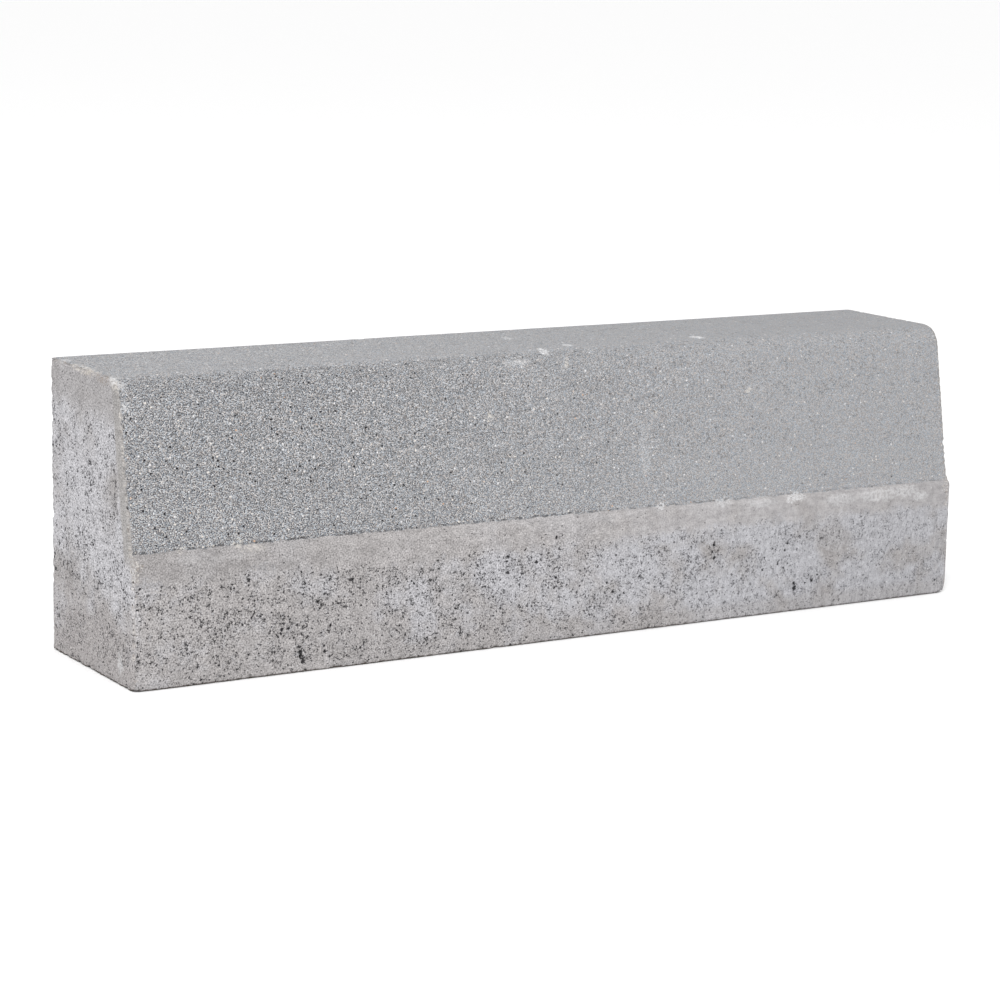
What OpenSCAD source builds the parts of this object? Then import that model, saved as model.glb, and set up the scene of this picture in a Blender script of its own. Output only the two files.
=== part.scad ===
// Precast concrete kerb stone, one solid piece.
//
// The stone lies on its bed along X, and its front looks towards -Y. From the
// bed up, the front has a plain upright band, a small sloping ledge, and a
// face that leans back to a rounded nose. The top is level, and the back and
// both ends are upright. The origin is at the middle of the bed, so the stone
// stands on Z = 0.

/* [Stone] */
// Length of the stone, end to end
stone_length = 1000; // [250:5:2000]
// Depth of the bed, from the front band to the back
bed_depth = 200; // [150:1:400]
// Height from the bed to the top
stone_height = 300; // [230:1:500]

/* [Front] */
// Height of the upright band at the foot of the front
band_height = 125; // [40:1:150]
// How far the ledge above the band steps back
ledge_depth = 7; // [3:0.5:15]
// How far the ledge climbs while it steps back
ledge_rise = 9; // [2:0.5:15]
// Angle at which the face above the ledge leans back, in degrees
batter_angle = 10; // [0:0.5:12]

/* [Arrises] */
// Radius of the nose between the leaning face and the top
nose_radius = 25; // [5:1:40]
// Radius of the long arrises at the bed and at the back
arris_radius = 3; // [1:0.5:8]
// Radius of the arris where the band turns into the ledge
ledge_radius = 2; // [0.5:0.5:4]
// Radius of the hollow where the ledge meets the leaning face
hollow_radius = 4; // [1:0.5:6]

/* [Hidden] */

// Largest turn between two neighbouring flats of a rounding, in degrees
flat_turn = 5;

front_y = -bed_depth / 2;
back_y = bed_depth / 2;
ledge_y = front_y + ledge_depth;
ledge_z = band_height + ledge_rise;
nose_y = ledge_y + (stone_height - ledge_z) * tan(batter_angle);

// The corners of the section before rounding, in order round the stone, and
// the radius of each. Both lists start at the front of the bed.
corners = [
    [front_y, 0],
    [front_y, band_height],
    [ledge_y, ledge_z],
    [nose_y, stone_height],
    [back_y, stone_height],
    [back_y, 0],
];
radii = [
    arris_radius,
    ledge_radius,
    hollow_radius,
    nose_radius,
    arris_radius,
    arris_radius,
];

function unit(v) = v / norm(v);

// The direction of the side that leaves corner i for the corner before it,
// at step -1, or for the corner after it, at step 1
function side(i, step) =
    let (count = len(corners))
    unit(corners[(i + step + count) % count] - corners[i]);

// The points of the rounding at corner i. Its arc starts square to the side
// before the corner and ends square to the side after it.
function rounding(i) =
    let (
        before = side(i, -1),
        after = side(i, 1),
        half_angle = acos(before * after) / 2,
        centre = corners[i] + unit(before + after) * radii[i] / sin(half_angle),
        start = corners[i] + before * radii[i] / tan(half_angle) - centre,
        turn = sign(cross(after, before)) * (180 - 2 * half_angle),
        flats = ceil(abs(turn) / flat_turn)
    )
    [
        for (k = [0:flats])
            let (angle = turn * k / flats)
            centre + [
                start.x * cos(angle) - start.y * sin(angle),
                start.x * sin(angle) + start.y * cos(angle),
            ]
    ];

module kerb_stone() {
    color([0.66, 0.66, 0.67])
        rotate([90, 0, 90])
            linear_extrude(height = stone_length, center = true)
                polygon([for (i = [0:len(corners) - 1]) each rounding(i)]);
}

kerb_stone();
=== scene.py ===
"""A precast concrete kerb stone, dressed for its portrait.

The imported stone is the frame. The stone that shows is modelled over it: a block cut to the kerb's section,
remeshed finely, worn at its arrises, pitted where the mix left bug holes, and thinned again where it is
plain. One concrete finish covers it, with a washed fine-grained facing on the leaning face and the top, and
a cement skin on the foot band, the ends, the back and the bed.
"""

import logging
from collections.abc import Callable
from dataclasses import dataclass, field
from enum import Enum
from math import atan2, cos, pi, radians, sin, tan

import bpy
import numpy as np
from mathutils import Matrix, Vector, kdtree


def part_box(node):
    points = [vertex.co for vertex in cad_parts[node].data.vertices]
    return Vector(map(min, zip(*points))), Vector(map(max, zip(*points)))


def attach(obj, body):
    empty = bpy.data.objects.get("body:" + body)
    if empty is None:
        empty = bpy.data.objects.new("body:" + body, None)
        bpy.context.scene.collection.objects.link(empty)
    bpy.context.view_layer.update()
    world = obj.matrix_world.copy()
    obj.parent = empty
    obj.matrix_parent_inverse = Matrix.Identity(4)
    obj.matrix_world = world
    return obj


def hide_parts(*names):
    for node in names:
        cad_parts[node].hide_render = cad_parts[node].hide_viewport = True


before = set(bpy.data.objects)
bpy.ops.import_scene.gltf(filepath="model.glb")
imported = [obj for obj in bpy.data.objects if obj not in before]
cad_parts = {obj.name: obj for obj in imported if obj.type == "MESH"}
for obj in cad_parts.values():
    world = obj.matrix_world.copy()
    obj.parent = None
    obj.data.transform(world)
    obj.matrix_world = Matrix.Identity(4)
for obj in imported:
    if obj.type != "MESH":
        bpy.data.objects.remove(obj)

LOG = logging.getLogger("kerb")
MM = 0.001
NEAR = 0.1 * MM
NODE = "kerb_stone"
BODY = "root"

Span = tuple[float, float]
Triple = tuple[float, float, float]
Tint = Triple

# Odd numbers that scramble a lattice place and a seed into what looks like chance.
PLACE_MIX = (374761393, 668265263, 2246822519)
SEED_MIX = (40503, 977)
LAST_MIX = (1274126177, 2654435761)


# ---- Tools ----


@dataclass(frozen=True)
class SoftNoise:
    """A seeded random field that changes smoothly from place to place."""

    seed: int

    def _corner(self, cell: np.ndarray) -> np.ndarray:
        """Gives each lattice cell its own fixed random number.

        Args:
            cell: whole-number lattice places, one row of three each.

        Returns:
            Numbers from 0 to 1.
        """
        x, y, z = (cell[:, i].astype(np.uint32) * np.uint32(PLACE_MIX[i]) for i in range(3))
        mixed = x + y + z + np.uint32(self.seed * SEED_MIX[0] + SEED_MIX[1])
        mixed = (mixed ^ (mixed >> np.uint32(13))) * np.uint32(LAST_MIX[0])
        mixed = (mixed ^ (mixed >> np.uint32(16))) * np.uint32(LAST_MIX[1])
        return (mixed >> np.uint32(8)).astype(np.float64) / float(1 << 24)

    def at(self, points: np.ndarray, wave: float) -> np.ndarray:
        """Reads the field.

        Args:
            points: places in metres, one row of three each.
            wave: distance between neighbouring lattice cells, in metres.

        Returns:
            Numbers from -1 to 1.
        """
        scaled = points / wave
        low = np.floor(scaled).astype(np.int64)
        part = scaled - low
        part = part * part * (3 - 2 * part)
        total = np.zeros(len(points))
        for corner in range(8):
            step = np.array([corner & 1, corner >> 1 & 1, corner >> 2 & 1])
            weight = np.prod(np.where(step, part, 1 - part), axis=1)
            total += weight * self._corner(low + step)
        return 2 * total - 1

    def layered(self, points: np.ndarray, wave: float, layers: int) -> np.ndarray:
        """Adds up the field at halving waves, each at half the strength of the last.

        Args:
            points: places in metres.
            wave: the longest wave, in metres.
            layers: how many waves are added.

        Returns:
            Numbers from about -1 to 1.
        """
        total = np.zeros(len(points))
        for layer in range(layers):
            total += SoftNoise(self.seed + layer).at(points, wave / 2**layer) / 2**layer
        return total / (2 - 2 ** (1 - layers))


def smooth_step(low: float, high: float, value: np.ndarray) -> np.ndarray:
    """Returns 0 where value is low or less, 1 where it is high or more, and a smooth rise between."""
    part = np.clip((value - low) / (high - low), 0, 1)
    return part * part * (3 - 2 * part)


def make_active(piece: bpy.types.Object) -> None:
    """Leaves piece as the only selected object, and active.

    Args:
        piece: the object.
    """
    if bpy.context.mode != "OBJECT":
        bpy.ops.object.mode_set(mode="OBJECT")
    bpy.ops.object.select_all(action="DESELECT")
    piece.select_set(True)
    bpy.context.view_layer.objects.active = piece


def apply_modifier(piece: bpy.types.Object, kind: str, **settings: object) -> None:
    """Adds a modifier to piece and applies it.

    Args:
        piece: the object to change.
        kind: the modifier's type.
        settings: its properties.
    """
    make_active(piece)
    modifier = piece.modifiers.new(kind.lower(), kind)
    for name, value in settings.items():
        setattr(modifier, name, value)
    bpy.ops.object.modifier_apply(modifier=modifier.name)


def read_vertices(piece: bpy.types.Object, what: str = "co") -> np.ndarray:
    """Reads three numbers from each of piece's vertices.

    Args:
        piece: the object.
        what: co for the places, or normal for the outward normals.

    Returns:
        One row of three for each vertex.
    """
    found = np.empty(len(piece.data.vertices) * 3)
    piece.data.vertices.foreach_get(what, found)
    return found.reshape(-1, 3)


def put_vertices(piece: bpy.types.Object, places: np.ndarray) -> None:
    """Moves piece's vertices to these places, one row of three each."""
    piece.data.vertices.foreach_set("co", places.ravel())
    piece.data.update()


# ---- The section ----


@dataclass(frozen=True)
class Section:
    """The kerb's cross-section, in metres, with the sizes that its box doesn't give."""

    low: Vector
    high: Vector
    band_height: float = 125 * MM
    ledge_depth: float = 7 * MM
    ledge_rise: float = 9 * MM
    batter: float = radians(10)
    nose_radius: float = 25 * MM
    arris_radius: float = 3 * MM
    ledge_radius: float = 2 * MM

    @property
    def front(self) -> float:
        """Where the foot band's face stands."""
        return self.low.y

    @property
    def ledge_top(self) -> float:
        """Height at which the leaning face starts."""
        return self.band_height + self.ledge_rise

    @property
    def ledge_back(self) -> float:
        """Where the leaning face starts, from front to back."""
        return self.front + self.ledge_depth

    @property
    def nose_front(self) -> float:
        """Where the leaning face would meet the top if the nose were sharp."""
        return self.ledge_back + (self.high.z - self.ledge_top) * tan(self.batter)

    def behind_face(self, places: np.ndarray) -> np.ndarray:
        """Returns how far places lie behind the leaning face, square to it, and less than 0 in front."""
        face = self.ledge_back + (places[:, 2] - self.ledge_top) * tan(self.batter)
        return (places[:, 1] - face) * np.cos(self.batter)


# ---- The stone ----


# The large bug holes that stand alone, each with its place and radius in millimetres.
LARGE_HOLES = (
    (-321, -100, 26, 2.3), (-320, -100, 21, 2.9), (-319, -100, 16, 3.3), (-317, -100, 11, 2.9),
    (-341, -100, 46, 2.2), (-334, -100, 46, 2.0), (-323, -100, 39, 1.9), (-327, -100, 36, 2.1),
    (-362, -100, 19, 1.6), (-350, -100, 15, 1.8), (-326, -100, 25, 1.5), (-307, -100, 100, 1.8),
    (178, -100, 84, 2.4), (176, -100, 77, 2.2), (178, -100, 70, 2.4), (-23, -100, 68, 2.0),
    (-20, -100, 62, 1.8), (287, -100, 26, 2.8), (286, -100, 32, 2.0), (310, -100, 33, 2.2),
    (63, -100, 43, 2.2), (55, -100, 38, 1.8), (-500, 33, 120, 2.2), (-500, 85, 39, 2.4),
    (-301, -100, 70, 2.0), (-297, -100, 67, 2.2), (-299, -100, 63, 1.7), (301, -100, 30, 1.8),
    (318, -100, 38, 2.0), (306, -100, 39, 1.7),
)


@dataclass(frozen=True)
class Wear:
    """How far the surface has moved from its mould, in metres. Every depth goes inwards."""

    wave_length: float = 90 * MM
    wave_depth: float = 0.25 * MM
    ragged_length: float = 9 * MM
    ragged_depth: float = 0.9 * MM
    end_depth: float = 0.2 * MM
    end_reach: float = 2.6 * MM
    long_depth: float = 0.1 * MM
    long_reach: float = 2.4 * MM
    corner_depth: float = 2.4 * MM
    corner_reach: float = 7 * MM
    seam_depth: float = 0.9 * MM
    seam_reach: float = 1.2 * MM
    seam_length: float = 16 * MM
    seam_drop: float = 2.2 * MM
    seam_depth_back: float = 5 * MM
    seam_fade: Span = (0.0, 0.3)
    right_end_share: float = 0.4
    right_seam_share: float = 0.35


@dataclass(frozen=True)
class Hole:
    """A bite out of the surface: a bug hole or a chip."""

    place: Vector
    outward: Vector
    radius: float
    depth: float


@dataclass
class KerbStone:
    """The cast stone, from its sharp block to its worn and pitted surface."""

    section: Section
    wear: Wear = Wear()
    voxel: float = 1.5 * MM
    triangles: int = 190_000
    nose_flats: int = 16
    ledge_flats: int = 3
    arris_flats: int = 4
    bug_holes: int = 1900
    bug_radii: Span = (1.1 * MM, 2.3 * MM)
    bug_steepness: float = 0.95
    bug_share_on_facing: float = 0.003
    known_steepness: float = 1.1
    cluster_length: float = 45 * MM
    chips: int = 170
    chip_radii: Span = (2 * MM, 6 * MM)
    chip_steepness: float = 0.35
    chip_reach: float = 2 * MM
    ragged_share: float = 0.45
    ragged_length: float = 2.6 * MM
    # The depth in a bug hole at which its painted shade is full.
    full_shade_depth: float = 1.6 * MM
    seed: int = 11
    piece: bpy.types.Object = field(init=False)
    holes: list[Hole] = field(init=False, default_factory=list)

    def build(self) -> bpy.types.Object:
        """Models the stone.

        Returns:
            The finished piece.
        """
        self._cut_block()
        self._round_corners()
        self._remesh()
        self._wear()
        self._thin()
        self._mark_holes()
        self._finish_mesh()
        LOG.info("%s: %d faces", self.piece.name, len(self.piece.data.polygons))
        return self.piece

    def _cut_block(self) -> None:
        """Adds the block and cuts it to the sharp section."""
        s = self.section
        size = s.high - s.low
        bpy.ops.object.select_all(action="DESELECT")
        bpy.ops.mesh.primitive_cube_add(size=1, location=(s.low + s.high) / 2, scale=size)
        self.piece = bpy.context.active_object
        self.piece.name = "kerb_stone_cast"
        bpy.ops.object.transform_apply(location=True, rotation=True, scale=True)
        bpy.ops.object.mode_set(mode="EDIT")
        for height in (s.band_height, s.ledge_top):
            bpy.ops.mesh.select_all(action="SELECT")
            bpy.ops.mesh.bisect(plane_co=(0, 0, height), plane_no=(0, 0, 1))
        self._push_front(s.ledge_top, s.ledge_back - s.front)
        self._push_front(s.high.z, s.nose_front - s.front)
        bpy.ops.object.mode_set(mode="OBJECT")

    def _push_front(self, height: float, back: float) -> None:
        """Pushes the front edge at one height back from the band's face.

        Args:
            height: the edge's height.
            back: how far it moves.
        """
        bpy.ops.object.mode_set(mode="OBJECT")
        self._select_vertices(
            lambda p: (abs(p[:, 2] - height) < NEAR) & (abs(p[:, 1] - self.section.front) < NEAR)
        )
        bpy.ops.object.mode_set(mode="EDIT")
        bpy.ops.transform.translate(value=(0, back, 0))

    def _select_vertices(self, chosen: Callable[[np.ndarray], np.ndarray]) -> None:
        """Selects vertices by place, in object mode.

        Args:
            chosen: takes the places and returns which are wanted.
        """
        mesh = self.piece.data
        picked = chosen(read_vertices(self.piece))
        mesh.vertices.foreach_set("select", picked)
        ends = np.empty(len(mesh.edges) * 2, np.int32)
        mesh.edges.foreach_get("vertices", ends)
        mesh.edges.foreach_set("select", picked[ends.reshape(-1, 2)].all(axis=1))
        mesh.polygons.foreach_set("select", np.zeros(len(mesh.polygons), bool))
        mesh.update()

    def _round_edge(self, depth: float, height: float, offset: float, segments: int) -> None:
        """Rounds the long edge at one corner of the section.

        Args:
            depth: the corner's place from front to back.
            height: the corner's height.
            offset: how far from the edge the rounding starts.
            segments: flats in the rounding.
        """
        bpy.ops.object.mode_set(mode="OBJECT")
        self._select_vertices(lambda p: (abs(p[:, 1] - depth) < NEAR) & (abs(p[:, 2] - height) < NEAR))
        bpy.ops.object.mode_set(mode="EDIT")
        bpy.ops.mesh.select_mode(type="EDGE")
        bpy.ops.mesh.bevel(offset=offset, offset_type="OFFSET", segments=segments, profile=0.5)

    def _round_corners(self) -> None:
        """Rounds the nose, the ledge and the long arrises."""
        s = self.section
        nose_turn = pi / 2 - s.batter
        ledge_turn = pi / 2 - atan2(s.ledge_rise, s.ledge_depth)
        self._round_edge(s.nose_front, s.high.z, s.nose_radius * tan(nose_turn / 2), self.nose_flats)
        self._round_edge(s.front, s.band_height, s.ledge_radius * tan(ledge_turn / 2), self.ledge_flats)
        for depth, height in ((s.front, s.low.z), (s.high.y, s.low.z), (s.high.y, s.high.z)):
            self._round_edge(depth, height, s.arris_radius, self.arris_flats)
        bpy.ops.object.mode_set(mode="OBJECT")

    def _remesh(self) -> None:
        """Covers the block with small even faces."""
        apply_modifier(self.piece, "REMESH", mode="VOXEL", voxel_size=self.voxel, use_smooth_shade=True)

    def _arris_depth(self, places: np.ndarray) -> tuple[np.ndarray, np.ndarray]:
        """Measures how far places lie from the stone's arrises.

        Args:
            places: points on the stone.

        Returns:
            The distance to the nearest end arris, and to the nearest long arris, in metres.
        """
        s = self.section
        to_end = s.high.x - abs(places[:, 0])
        to_front = np.where(
            places[:, 2] < s.ledge_top,
            places[:, 1] - s.front,
            s.behind_face(places),
        )
        to_back = s.high.y - places[:, 1]
        to_top = s.high.z - places[:, 2]
        to_bed = places[:, 2] - s.low.z
        sides = np.sort(np.stack([to_front, to_back, to_top, to_bed]), axis=0)
        return np.hypot(to_end, sides[0]), np.hypot(sides[0], sides[1])

    def _handling(self, places: np.ndarray) -> np.ndarray:
        """Returns how roughly each part was handled: 1 up to the middle, and less toward the right end."""
        return np.interp(places[:, 0], (0.0, self.section.high.x), (1.0, self.wear.right_end_share))

    def _wear(self) -> None:
        """Gives the even surface its waves, worn arrises, bug holes and chips. Nothing leaves the box."""
        s = self.section
        w = self.wear
        places = read_vertices(self.piece)
        normals = read_vertices(self.piece, "normal")
        end_arris, long_arris = self._arris_depth(places)
        inward = np.zeros(len(places))
        inward += w.wave_depth * (1 + SoftNoise(self.seed).layered(places, w.wave_length, 3))
        ragged = np.clip(SoftNoise(self.seed + 20).layered(places, w.ragged_length, 3) + 0.15, 0, 1)
        ragged *= w.ragged_depth * self._handling(places)
        inward += (w.end_depth + ragged) * np.exp(-((end_arris / w.end_reach) ** 2))
        inward += (w.long_depth + ragged) * np.exp(-((long_arris / w.long_reach) ** 2))
        foot_corner = np.abs(places) - np.array((s.high.x, -s.front, s.low.z))
        off_corner = np.linalg.norm(foot_corner, axis=1) + (places[:, 1] > 0)
        inward += w.corner_depth * np.exp(-((off_corner / w.corner_reach) ** 2))
        inward += self._seam_groove(places)
        inward += self._bites(places, normals, end_arris, long_arris)
        places -= normals * inward[:, None]
        places = np.clip(places, np.array(s.low), np.array(s.high))
        put_vertices(self.piece, places)

    def _seam_groove(self, places: np.ndarray) -> np.ndarray:
        """Cuts the broken groove where the washed facing starts, which falls toward the right end.

        Args:
            places: the vertices.

        Returns:
            How far each vertex moves inwards, in metres.
        """
        s = self.section
        w = self.wear
        height = s.ledge_top - w.seam_drop * (1 + places[:, 0] / s.high.x)
        groove = np.exp(-(((places[:, 2] - height) / w.seam_reach) ** 2))
        groove *= places[:, 1] < s.ledge_back + w.seam_depth_back
        groove *= np.interp(places[:, 0], w.seam_fade, (1.0, w.right_seam_share))
        broken = np.clip(0.5 + SoftNoise(self.seed + 40).layered(places, w.seam_length, 3), 0, 1)
        return w.seam_depth * groove * broken

    def _bites(
        self,
        places: np.ndarray,
        normals: np.ndarray,
        end_arris: np.ndarray,
        long_arris: np.ndarray,
    ) -> np.ndarray:
        """Places the bug holes and chips.

        Args:
            places: the vertices.
            normals: their outward normals.
            end_arris: their distance to the end arrises.
            long_arris: their distance to the long arrises.

        Returns:
            How far each vertex moves inwards, in metres.
        """
        rng = np.random.default_rng(self.seed)
        s = self.section
        cluster = SoftNoise(self.seed + 5).layered(places, self.cluster_length, 3)
        skin = (places[:, 2] < s.ledge_top - 30 * MM) | (places[:, 1] > s.high.y - 1 * MM)
        skin |= abs(places[:, 0]) > s.high.x - 1 * MM
        hole_weight = np.where(skin, smooth_step(-0.1, 0.45, cluster), self.bug_share_on_facing)
        hole_weight *= places[:, 2] > s.low.z + 2 * MM
        surface = (places, normals)
        self.holes = self._scatter(
            rng, surface, hole_weight, self.bug_holes, self.bug_radii, self.bug_steepness
        )
        self.holes += self._known_holes()
        off_arris = np.minimum(end_arris, long_arris + self.chip_reach)
        near_arris = np.exp(-((off_arris / self.chip_reach) ** 2))
        near_arris *= self._handling(places) ** 2
        chips = self._scatter(
            rng, surface, near_arris, self.chips, self.chip_radii, self.chip_steepness
        )
        return self._bite_depth(places, self.holes + chips)

    def _known_holes(self) -> list[Hole]:
        """Sets the large holes that stand at known places.

        Returns:
            The holes.
        """
        found = []
        for x, y, z, radius in LARGE_HOLES:
            place = Vector((x, y, z)) * MM
            outward = Vector((-1, 0, 0)) if place.x == self.section.low.x else Vector((0, -1, 0))
            found.append(Hole(place, outward, radius * MM, radius * self.known_steepness * MM))
        return found

    def _bite_depth(self, places: np.ndarray, holes: list[Hole]) -> np.ndarray:
        """Measures how deep each place lies in a hole.

        Args:
            places: the vertices.
            holes: the holes.

        Returns:
            The depths in metres.
        """
        tree = kdtree.KDTree(len(places))
        for index, place in enumerate(places):
            tree.insert(place, index)
        tree.balance()
        ragged = SoftNoise(self.seed + 60).layered(places, self.ragged_length, 2)
        uneven = 1 + self.ragged_share * ragged
        moved = np.zeros(len(places))
        for hole in holes:
            for found, index, _ in tree.find_range(hole.place, hole.radius * 1.5 + hole.depth):
                offset = found - hole.place
                along = offset.dot(hole.outward)
                part = (offset - hole.outward * along).length * uneven[index] / hole.radius
                if part < 1 and abs(along) < hole.depth + 0.5 * MM:
                    moved[index] = max(moved[index], hole.depth * (1 - part**2) ** 0.8)
        return moved

    def _scatter(
        self,
        rng: np.random.Generator,
        surface: tuple[np.ndarray, np.ndarray],
        weight: np.ndarray,
        count: int,
        radii: Span,
        steepness: float,
    ) -> list[Hole]:
        """Draws holes at random where weight is high.

        Args:
            rng: the source of chance.
            surface: the vertices and their outward normals.
            weight: how likely a hole is at each vertex.
            count: how many holes.
            radii: the smallest and largest radius; small ones are far more common.
            steepness: depth for each unit of radius.

        Returns:
            The holes.
        """
        places, normals = surface
        centres = rng.choice(len(places), count, p=weight / weight.sum())
        sizes = radii[0] + (radii[1] - radii[0]) * rng.random(count) ** 3
        return [
            Hole(Vector(places[c]), Vector(normals[c]), r, r * steepness * rng.uniform(0.6, 1.2))
            for c, r in zip(centres, sizes, strict=True)
        ]

    def _thin(self) -> None:
        """Thins the mesh to its budget."""
        faces = 2 * len(self.piece.data.polygons)
        ratio = min(1.0, self.triangles / faces)
        apply_modifier(self.piece, "DECIMATE", decimate_type="COLLAPSE", ratio=ratio)

    def _mark_holes(self) -> None:
        """Writes how deep each vertex lies in a bug hole, so that the finish can paint shade into it."""
        places = read_vertices(self.piece)
        depth = self._bite_depth(places, self.holes)
        bite = self.piece.data.attributes.new("bite", "FLOAT", "POINT")
        bite.data.foreach_set("value", np.clip(depth / self.full_shade_depth, 0, 1).astype(np.float32))

    def _finish_mesh(self) -> None:
        """Smooths the shading and ties the piece to the frame."""
        make_active(self.piece)
        bpy.ops.object.shade_smooth()
        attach(self.piece, BODY)
        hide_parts(NODE)


# ---- Stage ----


@dataclass(frozen=True)
class Viewpoint:
    """Where the camera stands and how it is turned."""

    place: Vector = Vector((-1.6136, -2.6012, 0.7201))
    heading: float = radians(31.295)
    tilt: float = radians(10.913)
    roll: float = radians(1.161)
    lens: float = 105.13
    film: float = 36.0
    far_clip: float = 200.0

    def build(self) -> bpy.types.Object:
        """Adds the camera and makes it the scene's.

        Returns:
            The camera.
        """
        data = bpy.data.cameras.new("portrait_camera")
        data.lens = self.lens
        data.sensor_width = self.film
        data.clip_end = self.far_clip
        camera = bpy.data.objects.new("portrait_camera", data)
        bpy.context.collection.objects.link(camera)
        turn = (
            Matrix.Rotation(-self.heading, 4, "Z")
            @ Matrix.Rotation(pi / 2 - self.tilt, 4, "X")
            @ Matrix.Rotation(self.roll, 4, "Z")
        )
        camera.matrix_world = Matrix.Translation(self.place) @ turn
        bpy.context.scene.camera = camera
        return camera


@dataclass(frozen=True)
class Studio:
    """The pale floor and the soft light."""

    floor_size: float = 240.0
    floor_tone: Triple = (0.97, 0.97, 0.97)
    floor_roughness: float = 0.9
    sky_strength: float = 1.0
    lamp_place: Triple = (-2.4, -3.6, 5.0)
    lamp_aim: Triple = (0.0, 0.0, 0.15)
    lamp_side: float = 2.2
    lamp_watts: float = 195.0

    def build(self, floor_height: float) -> None:
        """Adds the floor, the sky and the lights.

        Args:
            floor_height: height that the stone stands on.
        """
        self._floor(floor_height)
        self._sky()
        self._lamp()
        bpy.context.scene.view_settings.view_transform = "Standard"

    def _floor(self, height: float) -> None:
        """Adds the floor.

        Args:
            height: its height.
        """
        bpy.ops.object.select_all(action="DESELECT")
        bpy.ops.mesh.primitive_plane_add(size=self.floor_size, location=(0, 0, height))
        floor = bpy.context.active_object
        floor.name = "studio_floor"
        bpy.ops.object.transform_apply(location=True, rotation=True, scale=True)
        paint = bpy.data.materials.new("floor_paint")
        paint.use_nodes = True
        shader = paint.node_tree.nodes["Principled BSDF"]
        shader.inputs["Base Color"].default_value = (*self.floor_tone, 1)
        shader.inputs["Roughness"].default_value = self.floor_roughness
        floor.data.materials.append(paint)

    def _sky(self) -> None:
        """Sets an even pale sky."""
        world = bpy.data.worlds.new("studio_sky")
        bpy.context.scene.world = world
        world.use_nodes = True
        backdrop = world.node_tree.nodes["Background"]
        backdrop.inputs["Color"].default_value = (1, 1, 1, 1)
        backdrop.inputs["Strength"].default_value = self.sky_strength

    def _lamp(self) -> None:
        """Adds a soft square lamp that looks at the stone."""
        data = bpy.data.lights.new("key_light", "AREA")
        data.shape = "SQUARE"
        data.size = self.lamp_side
        data.energy = self.lamp_watts
        lamp = bpy.data.objects.new("key_light", data)
        lamp.location = self.lamp_place
        aim = Vector(self.lamp_aim) - Vector(self.lamp_place)
        lamp.rotation_euler = aim.to_track_quat("-Z", "Y").to_euler()
        bpy.context.collection.objects.link(lamp)


# ---- Node tools ----

Socket = bpy.types.NodeSocket
Feed = Socket | float | tuple[float, ...]


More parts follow.
